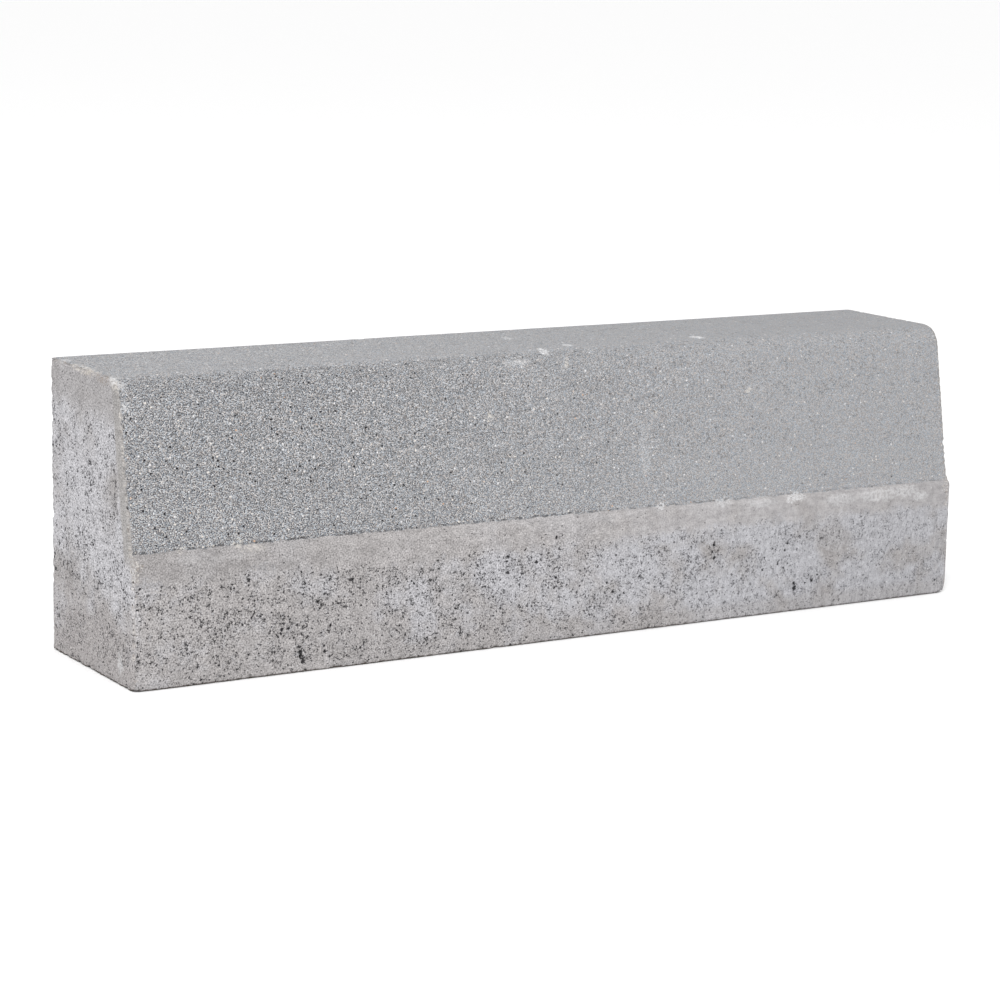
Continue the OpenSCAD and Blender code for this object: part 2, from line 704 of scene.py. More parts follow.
class Graph:
    """A node tree with short ways to add and wire its nodes."""

    def __init__(self, tree: bpy.types.NodeTree) -> None:
        """Starts with an existing tree."""
        self.tree = tree

    def add(self, kind: str, **settings: object) -> bpy.types.Node:
        """Adds a node.

        Args:
            kind: the node's type.
            settings: its properties.

        Returns:
            The node.
        """
        node = self.tree.nodes.new(kind)
        for name, value in settings.items():
            setattr(node, name, value)
        return node

    def plug(self, socket: Socket, feed: Feed) -> None:
        """Feeds a socket.

        Args:
            socket: the socket.
            feed: another socket, which is linked, or the value to set.
        """
        if isinstance(feed, bpy.types.NodeSocket):
            self.tree.links.new(feed, socket)
        elif isinstance(feed, tuple) and len(feed) < len(getattr(socket, "default_value", feed)):
            socket.default_value = (*feed, 1.0)
        else:
            socket.default_value = feed

    def math(self, step: str, first: Feed, second: Feed = 0.0) -> Socket:
        """Adds a Math node.

        Args:
            step: its operation.
            first: its first value.
            second: its second value.

        Returns:
            The result.
        """
        node = self.add("ShaderNodeMath", operation=step)
        self.plug(node.inputs[0], first)
        self.plug(node.inputs[1], second)
        return node.outputs[0]

    def chain(self, step: str, *values: Feed) -> Socket:
        """Runs several values through one operation, such as the greatest of them all.

        Args:
            step: the operation.
            values: two or more values.

        Returns:
            The result.
        """
        result = values[0]
        for value in values[1:]:
            result = self.math(step, result, value)
        return result

    def plus(self, *values: Feed) -> Socket:
        """Returns the sum of the values."""
        return self.chain("ADD", *values)

    def minus(self, first: Feed, second: Feed) -> Socket:
        """Returns the first value less the second."""
        return self.math("SUBTRACT", first, second)

    def times(self, *values: Feed) -> Socket:
        """Returns the product of the values."""
        return self.chain("MULTIPLY", *values)

    def most(self, *values: Feed) -> Socket:
        """Returns the greatest of the values."""
        return self.chain("MAXIMUM", *values)

    def vector(self, step: str, first: Feed, second: Feed) -> Socket:
        """Adds a Vector Math node.

        Args:
            step: its operation.
            first: its first vector.
            second: its second vector, or its scale.

        Returns:
            The resulting vector, or the length for LENGTH.
        """
        node = self.add("ShaderNodeVectorMath", operation=step)
        self.plug(node.inputs[0], first)
        if step == "SCALE":
            self.plug(node.inputs["Scale"], second)
        elif step != "LENGTH":
            self.plug(node.inputs[1], second)
        return node.outputs["Value" if step == "LENGTH" else "Vector"]

    def grade(self, value: Feed, low: Feed, high: Feed, start: Feed = 0.0, end: Feed = 1.0) -> Socket:
        """Turns a range of values smoothly into another, and holds what lies outside it.

        Args:
            value: what is graded.
            low: the value that gives start.
            high: the value that gives end.
            start: the result at low.
            end: the result at high.

        Returns:
            The graded value.
        """
        node = self.add("ShaderNodeMapRange", interpolation_type="SMOOTHSTEP")
        for name, feed in (("Value", value), ("From Min", low), ("From Max", high)):
            self.plug(node.inputs[name], feed)
        self.plug(node.inputs["To Min"], start)
        self.plug(node.inputs["To Max"], end)
        return node.outputs["Result"]

    def fade(self, mask: Feed, least: float) -> Socket:
        """Returns 1 where the mask is 0, and least where it is 1."""
        return self.grade(mask, 0.0, 1.0, 1.0, least)

    def blend(self, share: Feed, first: Feed, second: Feed, way: str = "MIX") -> Socket:
        """Mixes two colours.

        Args:
            share: how much of the second colour shows.
            first: the colour underneath.
            second: the colour on top.
            way: the mixing mode.

        Returns:
            The mixed colour.
        """
        node = self.add("ShaderNodeMix", data_type="RGBA", blend_type=way)
        factor, under, over = node.inputs[0], node.inputs[6], node.inputs[7]
        self.plug(factor, share)
        self.plug(under, first)
        self.plug(over, second)
        return node.outputs[2]

    def noise(
        self, place: Socket, wave: float, layers: float = 2.0, rough: float = 0.5, flat: bool = False
    ) -> Socket:
        """Adds a noise pattern.

        Args:
            place: where it is read, in millimetres.
            wave: its wave in millimetres.
            layers: how many finer layers are added.
            rough: how strong the finer layers are.
            flat: whether it is read in two dimensions, which is quicker.

        Returns:
            Its value, from 0 to 1 and mostly near a half.
        """
        node = self.add("ShaderNodeTexNoise", noise_dimensions="2D" if flat else "3D")
        self.plug(node.inputs["Vector"], place)
        self.plug(node.inputs["Scale"], 1.0 / wave)
        self.plug(node.inputs["Detail"], layers)
        self.plug(node.inputs["Roughness"], rough)
        return node.outputs[0]

    def cells(self, place: Socket, size: Feed) -> bpy.types.Node:
        """Adds a pattern of irregular cells.

        Args:
            place: where it is read, in millimetres over the flattened surface.
            size: the cells' size in millimetres.

        Returns:
            The node, with its Distance and Color outputs.
        """
        node = self.add("ShaderNodeTexVoronoi", voronoi_dimensions="2D", feature="F1")
        self.plug(node.inputs["Vector"], place)
        scale = self.math("DIVIDE", 1.0, size) if isinstance(size, bpy.types.NodeSocket) else 1.0 / size
        self.plug(node.inputs["Scale"], scale)
        return node

    def parts(self, feed: Socket) -> tuple[Socket, Socket, Socket]:
        """Splits a vector or a colour.

        Args:
            feed: the vector or colour.

        Returns:
            Its three numbers.
        """
        node = self.add("ShaderNodeSeparateXYZ")
        self.plug(node.inputs[0], feed)
        return tuple(node.outputs)


@dataclass(frozen=True)
class Effect:
    """A shader node group, built once and placed with values of its own."""

    tree: bpy.types.NodeTree

    @classmethod
    def start(
        cls, name: str, takes: dict[str, str], gives: tuple[str, ...]
    ) -> tuple["Effect", Graph, dict[str, Socket], dict[str, Socket]]:
        """Opens a new group.

        Args:
            name: the group's name.
            takes: its inputs, each with its kind of socket: Float or Vector.
            gives: its outputs, all numbers.

        Returns:
            The effect, its graph, the inputs to read and the outputs to feed.
        """
        tree = bpy.data.node_groups.new(name, "ShaderNodeTree")
        for label, kind in takes.items():
            tree.interface.new_socket(label, in_out="INPUT", socket_type="NodeSocket" + kind)
        for label in gives:
            tree.interface.new_socket(label, in_out="OUTPUT", socket_type="NodeSocketFloat")
        graph = Graph(tree)
        entry = graph.add("NodeGroupInput")
        leave = graph.add("NodeGroupOutput")
        reads = {label: entry.outputs[label] for label in takes}
        feeds = {label: leave.inputs[label] for label in gives}
        return cls(tree), graph, reads, feeds

    def place(self, graph: Graph, **feeds: Feed) -> dict[str, Socket]:
        """Places the group in a material.

        Args:
            graph: the material's graph.
            feeds: what goes into its inputs.

        Returns:
            Its outputs by name.
        """
        node = graph.add("ShaderNodeGroup", node_tree=self.tree)
        for label, feed in feeds.items():
            graph.plug(node.inputs[label], feed)
        return {out.name: out for out in node.outputs}


# ---- The concrete's effects ----


def washed_grain() -> Effect:
    """Builds the pattern of close-packed grains that washing lays bare.

    Returns:
        The effect: Tone is each grain's own lightness, Warmth its own warmth, Gap the painted shade in the
            low
        gaps between grains, and Height how far the grains stand up.
    """
    effect, graph, reads, feeds = Effect.start(
        "washed_grain", {"Place": "Vector", "Size": "Float"}, ("Tone", "Warmth", "Gap", "Height")
    )
    big = graph.cells(reads["Place"], reads["Size"])
    small = graph.cells(reads["Place"], graph.times(reads["Size"], 0.5))
    big_tone, big_warmth, _ = graph.parts(big.outputs["Color"])
    small_tone, _, small_warmth = graph.parts(small.outputs["Color"])
    tone = graph.plus(graph.times(big_tone, 0.6), graph.times(small_tone, 0.4))
    warmth = graph.plus(graph.times(big_warmth, 0.6), graph.times(small_warmth, 0.4))
    graph.plug(feeds["Tone"], tone)
    graph.plug(feeds["Warmth"], warmth)
    # Painted shade: the low gaps between the grains are darkened.
    graph.plug(feeds["Gap"], graph.grade(big.outputs["Distance"], 0.35, 0.75))
    graph.plug(feeds["Height"], graph.minus(1.0, big.outputs["Distance"]))
    return effect


def scattered_bits() -> Effect:
    """Builds a scatter of small bits or holes.

    Returns:
        The effect: Mask is 1 on a bit and Pick is each bit's own random number.
    """
    effect, graph, reads, feeds = Effect.start(
        "scattered_bits",
        {"Place": "Vector", "Spacing": "Float", "Reach": "Float", "Share": "Float"},
        ("Mask", "Pick"),
    )
    spots = graph.cells(reads["Place"], reads["Spacing"])
    chance, pick, size = graph.parts(spots.outputs["Color"])
    reach = graph.times(reads["Reach"], graph.grade(size, 0.0, 1.0, 0.45, 1.25))
    near = graph.grade(graph.minus(spots.outputs["Distance"], reach), 0.03, -0.05)
    there = graph.math("LESS_THAN", chance, reads["Share"])
    graph.plug(feeds["Mask"], graph.times(near, there))
    graph.plug(feeds["Pick"], pick)
    return effect


def bug_holes(bits: Effect) -> Effect:
    """Builds the small ragged holes that air leaves in a cast skin, standing in clusters.

    Args:
        bits: the scatter that the holes are drawn from.

    Returns:
        The effect: Mask is 1 in a hole, Wide is 1 in the wider ones, Lump is 1 on the lumps between them,
        and Cluster is how thickly they stand.
    """
    effect, graph, reads, feeds = Effect.start(
        "bug_holes",
        {"Place": "Vector", "Amount": "Float", "Thick": "Float"},
        ("Mask", "Wide", "Lump", "Cluster"),
    )
    place = reads["Place"]
    cluster = graph.grade(graph.noise(place, 26, 2.0, 0.8, flat=True), 0.35, 0.65)
    spread = graph.most(graph.grade(cluster, 0.0, 1.0, 0.3, 0.95), reads["Thick"])
    level = graph.times(reads["Amount"], spread)
    warp = graph.add("ShaderNodeTexNoise", noise_dimensions="2D")
    graph.plug(warp.inputs["Vector"], place)
    graph.plug(warp.inputs["Scale"], 0.7)
    graph.plug(warp.inputs["Detail"], 0.0)
    ragged = graph.vector("ADD", place, graph.vector("SCALE", warp.outputs["Color"], 2.6))
    fine = bits.place(graph, Place=ragged, Spacing=1.7, Reach=0.42, Share=graph.times(level, 0.5))
    fine_mask = graph.times(fine["Mask"], graph.grade(fine["Pick"], 0.0, 0.7, 0.5, 1.0))
    wide_share = graph.times(graph.times(level, level), 0.22)
    wide_place = graph.vector("ADD", ragged, (31.0, 57.0, 0.0))
    wider = bits.place(graph, Place=wide_place, Spacing=3.2, Reach=0.3, Share=wide_share)
    crumble = graph.noise(ragged, 5.5, 2, 0.75, flat=True)
    thick = graph.grade(level, 0.5, 0.95)
    cranny = graph.times(graph.grade(crumble, 0.36, 0.30), thick)
    wide = graph.most(wider["Mask"], cranny)
    graph.plug(feeds["Mask"], graph.most(fine_mask, wide))
    graph.plug(feeds["Wide"], wide)
    graph.plug(feeds["Lump"], graph.times(graph.grade(crumble, 0.56, 0.66), thick))
    graph.plug(feeds["Cluster"], level)
    return effect


class Mark(Enum):
    """The kinds of mark on the stone."""

    PITS = "thick bug holes"
    BLOOM = "bluish lime bloom"
    LIME = "white lime"
    CREAM = "cream grit"
    BROWN = "brown dirt"
    # SHADE is painted shade, laid out like the marks.
    SHADE = "grey shade"


@dataclass(frozen=True)
class Patch:
    """A mark at one place on the stone, in millimetres."""

    centre: Triple
    reach: Triple
    strength: float


PATCHES = {
    Mark.PITS: (
        Patch((-320, -100, 18), (14, 12, 18), 1.0),
        Patch((-338, -100, 45), (30, 12, 12), 0.95),
        Patch((-299, -100, 68), (16, 12, 10), 0.8),
        Patch((-420, -100, 52), (30, 12, 22), 0.7),
        Patch((-222, -100, 32), (24, 12, 14), 0.65),
        Patch((-184, -100, 17), (20, 12, 9), 0.65),
        Patch((-108, -100, 74), (24, 12, 14), 0.8),
        Patch((-103, -100, 50), (18, 12, 12), 0.75),
        Patch((-23, -100, 66), (18, 12, 18), 1.0),
        Patch((30, -100, 42), (34, 12, 16), 0.95),
        Patch((159, -100, 66), (24, 12, 16), 0.85),
        Patch((177, -100, 80), (10, 12, 16), 1.0),
        Patch((288, -100, 27), (14, 12, 14), 1.0),
        Patch((312, -100, 35), (18, 12, 12), 0.95),
        Patch((-500, 48, 184), (12, 18, 16), 0.95),
        Patch((-500, 16, 129), (12, 20, 22), 1.0),
        Patch((-500, -32, 158), (12, 16, 14), 0.95),
        Patch((-500, 82, 42), (12, 12, 16), 0.9),
    ),
    Mark.BLOOM: (
        Patch((62, -100, 78), (70, 12, 26), 0.9),
        Patch((180, -100, 96), (50, 12, 14), 0.7),
        Patch((345, -100, 85), (80, 12, 26), 0.4),
        Patch((-488, -100, 98), (22, 12, 16), 0.6),
        Patch((-366, -100, 105), (26, 12, 12), 0.5),
        Patch((-500, 20, 172), (12, 78, 90), 0.95),
    ),
    Mark.LIME: (
        Patch((-54, -65, 291), (22, 9, 4), 0.5),
        Patch((-3, 39, 300), (5, 10, 12), 0.6),
        Patch((-14, -50, 300), (6, 12, 12), 1.0),
        Patch((27, -32, 300), (6, 10, 12), 0.85),
        Patch((192, -34, 300), (9, 13, 12), 0.95),
        Patch((176, -76, 297), (4, 9, 10), 0.55),
        Patch((223, -85, 297), (26, 14, 10), 0.25),
        Patch((287, -70, 299), (10, 14, 10), 0.35),
        Patch((60, -82, 297), (24, 14, 10), 0.2),
        Patch((109, -95, 131), (6, 10, 4), 0.7),
        Patch((189, -99, 129), (16, 10, 4), 0.45),
        Patch((240, -99, 125), (24, 10, 6), 0.35),
        Patch((285, -98, 127), (16, 10, 5), 0.75),
        Patch((345, -99, 120), (30, 10, 7), 0.35),
        Patch((400, -98, 121), (36, 10, 9), 0.45),
        Patch((436, -99, 122), (22, 10, 8), 0.45),
        Patch((457, -99, 115), (14, 10, 5), 0.5),
        Patch((-500, -68, 22), (9, 8, 13), 0.6),
        Patch((-499, -52, 300), (6, 12, 9), 0.65),
        Patch((-493, -62, 295), (6, 9, 7), 0.5),
        Patch((-495, -71, 273), (5, 8, 7), 0.55),
        Patch((-495, 72, 300), (7, 9, 9), 0.6),
        Patch((-401, -100, 124), (30, 10, 3), 0.12),
        Patch((-443, -100, 126), (15, 10, 5), 0.15),
        Patch((95, -82, 190), (8, 14, 40), 0.2),
    ),
    Mark.CREAM: (
        Patch((-386, -93, 136), (7, 9, 5), 0.7),
        Patch((-372, -96, 130), (18, 9, 4), 0.45),
        Patch((-448, -93, 135), (5, 8, 4), 0.6),
        Patch((-92, -75, 238), (5, 9, 5), 0.75),
        Patch((111, -76, 229), (4, 9, 4), 0.6),
        Patch((234, -73, 245), (4, 9, 4), 0.6),
        Patch((5, -66, 285), (5, 9, 5), 0.6),
        Patch((-499, 20, 300), (7, 40, 7), 0.7),
        Patch((-499, -60, 294), (7, 16, 8), 0.6),
    ),
    Mark.BROWN: (
        Patch((-500, -74, 281), (6, 5, 9), 0.6),
        Patch((-500, 8, 297), (6, 18, 5), 0.5),
        Patch((-500, -30, 295), (6, 20, 6), 0.5),
    ),
    # Painted shade: grey strips on the band's face just under the ledge and its crust.
    Mark.SHADE: (
        Patch((-393, -100, 115), (40, 9, 4), 0.35),
        Patch((-345, -100, 111), (34, 9, 4), 0.3),
        Patch((-240, -100, 118), (60, 9, 6), 0.2),
    ),
}


@dataclass(frozen=True)
class Run:
    """A value graded along the stone, between two places in millimetres from its middle."""

    left: float
    right: float
    start: float
    end: float


@dataclass(frozen=True)
class Surface:
    """What each part of the finish reads: the graph, the place in millimetres, the zones and the sheet."""

    graph: Graph
    place: Socket
    masks: dict[str, Socket]
    sheet: Socket
    bits: Effect

    def noise(self, wave: float, layers: float = 2.0, rough: float = 0.5) -> Socket:
        """Returns a noise over the sheet, with its wave in millimetres."""
        return self.graph.noise(self.sheet, wave, layers, rough, flat=True)

    def stretched(self, stretch: Triple, wave: float) -> Socket:
        """Returns a noise over the sheet, whose waves are shorter where stretch is large."""
        place = self.graph.vector("MULTIPLY", self.sheet, stretch)
        return self.graph.noise(place, wave, 2, 0.6, flat=True)

    def along(self, run: Run) -> Socket:
        """Returns the run's value at each place along the stone."""
        return self.graph.grade(self.masks["x"], run.left, run.right, run.start, run.end)

    def stirred(self, noise: Socket, reach: float) -> Socket:
        """Moves the place about, so that what is read there has a ragged outline.

        Args:
            noise: what moves it.
            reach: how far a noise of 1 moves it more than a noise of 0 does, in millimetres.

        Returns:
            The moved place.
        """
        amount = self.graph.times(self.graph.minus(noise, 0.5), reach)
        joined = self.graph.add("ShaderNodeCombineXYZ")
        for socket in joined.inputs:
            self.graph.plug(socket, amount)
        return self.graph.vector("ADD", self.place, joined.outputs[0])


@dataclass(frozen=True)
class ZoneEdges:
    """Where each zone of the finish starts and is full, in millimetres, and how far its edge wanders.

    The facing is measured from the seam, the ends and the back; the strip from the leaning face and the
    ledge; the cap, nose and top from the top; the smear from the ledge; the foot and its warmth from the
    bed.
    """

    seam_fall: float = 4.4
    facing: Span = (-0.4, 0.6)
    facing_end: Span = (1.4, 2.8)
    facing_back: Span = (1.2, 2.2)
    end_reach: float = 2.4
    strip: Span = (18.0, 13.0)
    strip_foot: Span = (-22.0, 4.0)
    cap: Span = (62.0, 22.0)
    front: Span = (16.0, 12.0)
    smear: Span = (-40.0, -22.0)
    foot: Span = (26.0, 8.0)
    top: Span = (4.0, 0.6)
    nose: Span = (26.0, 12.0)
    warm_foot: Span = (110.0, 40.0)
    wander_length: float = 12.0
    seam_wander: float = 5.0
    end_wander: float = 6.0
    strip_wander: float = 7.0
    cap_wander: float = 30.0
    smear_wander: float = 26.0


@dataclass(frozen=True)
class FacingLook:
    """How the washed facing looks. Lengths are in millimetres, and what shows is a share of 1."""

    grain_size: float = 1.25
    grain_contrast: float = 0.76
    grain_relief: float = 0.42
    gap_shade_strength: float = 0.9
    top_crisp: float = 0.6
    drift_length: float = 60.0
    drift: float = 0.05
    warm_cast: Tint = (1.08, 0.985, 0.91)
    cool_cast: Tint = (0.91, 0.99, 1.07)
    whole_cast: Tint = (1.03, 1.022, 1.02)
    bit_spacing: float = 5.5
    pale_reach: float = 0.17
    pale_share: float = 0.1
    pit_shade_reach: float = 0.2
    pit_shade_share: float = 0.09
    pit_shade_shift: Triple = (71.0, 13.0, 0.0)
    facing_crisp: Run = Run(-350, 350, 1.0, 0.33)
    facing_light: Run = Run(-300, 450, 1.16, 1.12)
    top_painted_light: Run = Run(-400, 400, 0.15, -0.04)
    nose_painted_light: Run = Run(-400, 400, -0.05, 0.02)
    pale_grains: Run = Run(-300, 450, 0.85, 0.5)


@dataclass(frozen=True)
class SkinLook:
    """How the cement skin looks. Lengths are in millimetres, and what shows is a share of 1."""

    wide_length: float = 70.0
    mottle_length: float = 7.0
    sand_length: float = 1.7
    streak_length: float = 22.0
    streak_stretch: Triple = (1.0, 0.35, 1.0)
    streak_dark: float = 0.35
    wipe_length: float = 9.0
    wipe_stretch: Triple = (0.4, 1.3, 1.0)
    wipe: float = 0.4
    strip_share: float = 0.8
    end_bloom: float = 1.26
    cap_damp: float = 0.1
    strip_holes: float = 0.03
    smear_holes: float = 0.07
    cap_holes: float = 0.12
    foot_holes: float = 0.75
    warm_holes: float = 0.85
    hole_shade_strength: float = 0.93
    hole_relief: float = 0.9
    hollow_shade_strength: float = 0.2
    grit_spacing: float = 3.2
    grit_reach: float = 0.2
    grit_few: float = 0.03
    grit_many: float = 0.16
    grit_shift: Triple = (17.0, 91.0, 0.0)
    grit_pale: float = 0.5
    lump_length: float = 7.0
    lump_stretch: Triple = (1.3, 0.6, 1.0)
    lump_pale: float = 0.35
    sand_relief: float = 0.35
    foot_dirt_and_shadow_height: Span = (4.4, 2.8)
    foot_dirt_and_shadow_wander: float = 4.0
    skin_crisp: Run = Run(-200, 420, 1.0, 0.55)
    skin_light: Run = Run(180, 450, 1.0, 0.92)
    skin_sand: Run = Run(-150, 300, 1.5, 0.35)
    ledge_damp: Run = Run(-200, -420, 0.0, 0.14)
    bloom_share: Run = Run(-300, 200, 0.62, 0.85)
    bloom_lean: Run = Run(-300, 200, -0.08, 0.11)
    hole_share: Run = Run(100, 400, 1.0, 0.85)
    foot_dirt_and_shadow_share: Run = Run(-300, 200, 0.9, 0.5)
    lump_height: Run = Run(-100, 300, 0.6, 4.5)


@dataclass(frozen=True)
class Concrete:
    """The stone's finish: a washed granular facing, and a cement skin with bug holes and lime bloom."""

    section: Section
    gap_shade_tint: Tint = (0.028, 0.029, 0.033)
    low_tint: Tint = (0.105, 0.108, 0.114)
    mid_tint: Tint = (0.268, 0.272, 0.281)
    high_tint: Tint = (0.63, 0.63, 0.635)
    skin_tint: Tint = (0.35, 0.334, 0.332)
    skin_dark: Tint = (0.27, 0.256, 0.252)
    bloom_tint: Tint = (0.43, 0.43, 0.455)
    strip_tint: Tint = (0.315, 0.303, 0.296)
    lime_tint: Tint = (0.62, 0.62, 0.63)
    warm_tint: Tint = (0.35, 0.331, 0.328)
    cream_tint: Tint = (0.62, 0.585, 0.54)
    rust_tint: Tint = (0.46, 0.30, 0.20)
    brown_tint: Tint = (0.25, 0.20, 0.16)
    shade_tint: Tint = (0.19, 0.182, 0.18)
    # Near-black painted shade, for the holes, pits, hollows and the seam line.
    hole_shade_tint: Tint = (0.016, 0.016, 0.018)
    foot_dirt_and_shadow_tint: Tint = (0.05, 0.034, 0.024)
    gloss: float = 0.12
    zones: ZoneEdges = ZoneEdges()
    facing: FacingLook = FacingLook()
    skin: SkinLook = SkinLook()
    seam_shade: Run = Run(-50, 300, 0.65, 0.28)

    def build(self) -> bpy.types.Material:
        """Builds the material.

        Returns:
            The finished material.
        """
        mat = bpy.data.materials.new("cast_concrete")
        mat.use_nodes = True
        graph = Graph(mat.node_tree)
        shader = mat.node_tree.nodes["Principled BSDF"]
        where = graph.add("ShaderNodeTexCoord")
        place = graph.vector("SCALE", where.outputs["Object"], 1 / MM)
        masks = self._zones(graph, place)
        at = Surface(graph, place, masks, self._sheet(graph, masks), scattered_bits())
        facing, facing_height = self._facing(at)
        skin, skin_height = self._skin(at)
        colour = graph.blend(masks["facing"], skin, facing)
        for coat in (self._seam, self._chipped, self._marks, self._open_holes):
            colour = coat(at, colour)
        height = graph.plus(skin_height, graph.times(masks["facing"], facing_height))
        bump = graph.add("ShaderNodeBump")
        bump.inputs["Distance"].default_value = MM
        bump.inputs["Strength"].default_value = 1.0
        graph.plug(bump.inputs["Height"], height)
        graph.plug(shader.inputs["Base Color"], colour)
        graph.plug(shader.inputs["Roughness"], self._roughness(at))
        shader.inputs["Specular IOR Level"].default_value = self.gloss
        graph.plug(shader.inputs["Normal"], bump.outputs["Normal"])
        return mat

    def _open_holes(self, at: Surface, colour: Socket) -> Socket:
        """Paints shade into the holes that are cut into the mesh, darkest where they are deep.

        Args:
            at: the surface.
            colour: the colour so far.

        Returns:
            The colour with painted shade in its holes.
        """
        graph = at.graph
        bite = graph.add("ShaderNodeAttribute", attribute_name="bite").outputs["Fac"]
        ragged = graph.times(graph.minus(at.noise(2.2, 1), 0.5), 1.6)
        core = graph.plus(bite, graph.times(ragged, graph.grade(bite, 0.02, 0.2)))
        return graph.blend(graph.grade(core, 0.42, 0.85, 0.0, 0.92), colour, self.hole_shade_tint)

    def _roughness(self, at: Surface) -> Socket:
        """Makes the smeared skin a little smoother than the open, sandy concrete.

        Args:
            at: the surface.

        Returns:
            The roughness.
        """
        graph = at.graph
        closed = graph.most(at.masks["smear"], at.masks["strip"], at.masks["cap"])
        grit = graph.times(at.noise(self.skin.sand_length, 1, 0.6), 0.06)
        return graph.minus(graph.grade(closed, 0.0, 1.0, 0.98, 0.88), grit)

    def _sheet(self, graph: Graph, masks: dict[str, Socket]) -> Socket:
        """Flattens the stone's surfaces onto one sheet, in millimetres.

        Along the stone the sheet runs with its length and up its section; on the ends it runs from front to
        back and up.

        Args:
            graph: the material's graph.
            masks: the zones.

        Returns:
            The place on the sheet.
        """
        around = graph.plus(masks["z"], masks["y"])
        across = graph.plus(masks["y"], graph.times(masks["x"], 3.0))
        on_end = masks["end"]
        off_end = graph.minus(1.0, on_end)
        first = graph.plus(graph.times(masks["x"], off_end), graph.times(across, on_end))
        second = graph.plus(graph.times(around, off_end), graph.times(masks["z"], on_end))
        joined = graph.add("ShaderNodeCombineXYZ")
        graph.plug(joined.inputs[0], first)
        graph.plug(joined.inputs[1], second)
        return joined.outputs[0]

    def _zones(self, graph: Graph, place: Socket) -> dict[str, Socket]:
        """Marks out the surfaces.

        Args:
            graph: the material's graph.
            place: the place in millimetres.

        Returns:
            Masks and distances by name.
        """
        s = self.section
        edges = self.zones
        x, y, z = graph.parts(place)
        wander = graph.minus(graph.noise(place, edges.wander_length, 2, 0.65), 0.5)
        to_end = graph.minus(s.high.x / MM, graph.math("ABSOLUTE", x))
        to_back = graph.minus(s.high.y / MM, y)
        over_ledge = graph.minus(z, s.ledge_top / MM)
        lean = graph.times(over_ledge, tan(s.batter))
        behind = graph.minus(graph.minus(y, s.ledge_back / MM), lean)
        below_top = graph.minus(s.high.z / MM, z)
        band_depth = graph.minus(y, s.front / MM)
        seam_fall = graph.grade(x, s.low.x / MM, s.high.x / MM, 0.0, edges.seam_fall)
        over_seam = graph.plus(over_ledge, seam_fall)
        edge = graph.plus(over_seam, graph.times(wander, edges.seam_wander))
        end_edge = graph.plus(to_end, graph.times(wander, edges.end_wander))
        facing = graph.times(
            graph.grade(edge, *edges.facing),
            graph.grade(end_edge, *edges.facing_end),
            graph.grade(to_back, *edges.facing_back),
        )
        end = graph.math("LESS_THAN", to_end, edges.end_reach)
        strip_edge = graph.plus(behind, graph.times(wander, edges.strip_wander))
        strip = graph.times(
            end, graph.grade(strip_edge, *edges.strip), graph.grade(over_ledge, *edges.strip_foot)
        )
        cap_edge = graph.plus(below_top, graph.times(wander, edges.cap_wander))
        cap = graph.times(end, graph.grade(cap_edge, *edges.cap))
        drop_edge = graph.plus(over_ledge, graph.times(wander, edges.smear_wander))
        front = graph.grade(band_depth, *edges.front)
        smear = graph.times(front, graph.grade(drop_edge, *edges.smear), graph.minus(1.0, end))
        return {
            "facing": facing,
            "end": end,
            "strip": strip,
            "cap": cap,
            "smear": smear,
            "foot": graph.grade(z, *edges.foot),
            "top": graph.grade(below_top, *edges.top),
            "nose": graph.grade(below_top, *edges.nose),
            "arris": self._arris(graph, to_end, behind, below_top, band_depth, over_ledge),
            "over_seam": over_seam,
            "x": x,
            "y": y,
            "z": z,
        }

    def _arris(
        self,
        graph: Graph,
        to_end: Socket,
        behind: Socket,
        below_top: Socket,
        band_depth: Socket,
        over_ledge: Socket,
    ) -> Socket:
        """Measures how near the end arrises are.

        Args:
            graph: the material's graph.
            to_end: distance from the nearer end.
            behind: distance behind the leaning face.
            below_top: distance below the top.
            band_depth: distance behind the band's face.
            over_ledge: height above the ledge.

        Returns:
            The distance in millimetres.
        """
        radius = self.section.nose_radius / MM
        short = graph.most(graph.minus(radius, behind), 0.0)
        low = graph.most(graph.minus(radius, below_top), 0.0)
        # The face leans, so the two depths aren't square to each other, and the cross term allows for it.
        squares = graph.plus(graph.times(short, short), graph.times(low, low))
        cross = graph.times(short, low, 2 * sin(self.section.batter))
        reach = graph.math("SQRT", graph.minus(squares, cross))
        nose_depth = graph.minus(radius, graph.math("DIVIDE", reach, cos(self.section.batter)))
        foot_depth = graph.plus(band_depth, graph.grade(over_ledge, -0.5, 0.5, 0.0, radius))
        return graph.plus(to_end, graph.math("MINIMUM", nose_depth, foot_depth))

    def _facing(self, at: Surface) -> tuple[Socket, Socket]:
        """Makes the washed facing.

        Args:
            at: the surface.

        Returns:
            Its colour, and its height in millimetres.
        """
        look = self.facing
        graph, sheet, masks, bits = at.graph, at.sheet, at.masks, at.bits
        grain = washed_grain().place(graph, Place=sheet, Size=look.grain_size)
        crisp = graph.times(at.along(look.facing_crisp), graph.fade(masks["top"], look.top_crisp))
        drift = graph.times(graph.minus(at.noise(look.drift_length), 0.5), look.drift)
        tone = graph.plus(graph.minus(grain["Tone"], 0.5), drift)
        tone = graph.plus(graph.times(tone, crisp, look.grain_contrast), 0.5)
        ramp = graph.add("ShaderNodeValToRGB")
        points = ramp.color_ramp.elements
        points[0].position, points[0].color = 0.15, (*self.low_tint, 1)
        points[1].position, points[1].color = 0.9, (*self.high_tint, 1)
        middle = points.new(0.5)
        middle.color = (*self.mid_tint, 1)
        graph.plug(ramp.inputs[0], tone)
        colour = ramp.outputs[0]
        warm = graph.grade(grain["Warmth"], 0.55, 0.85)
        cool = graph.grade(grain["Warmth"], 0.45, 0.15)
        colour = graph.blend(warm, colour, look.warm_cast, "MULTIPLY")
        colour = graph.blend(cool, colour, look.cool_cast, "MULTIPLY")
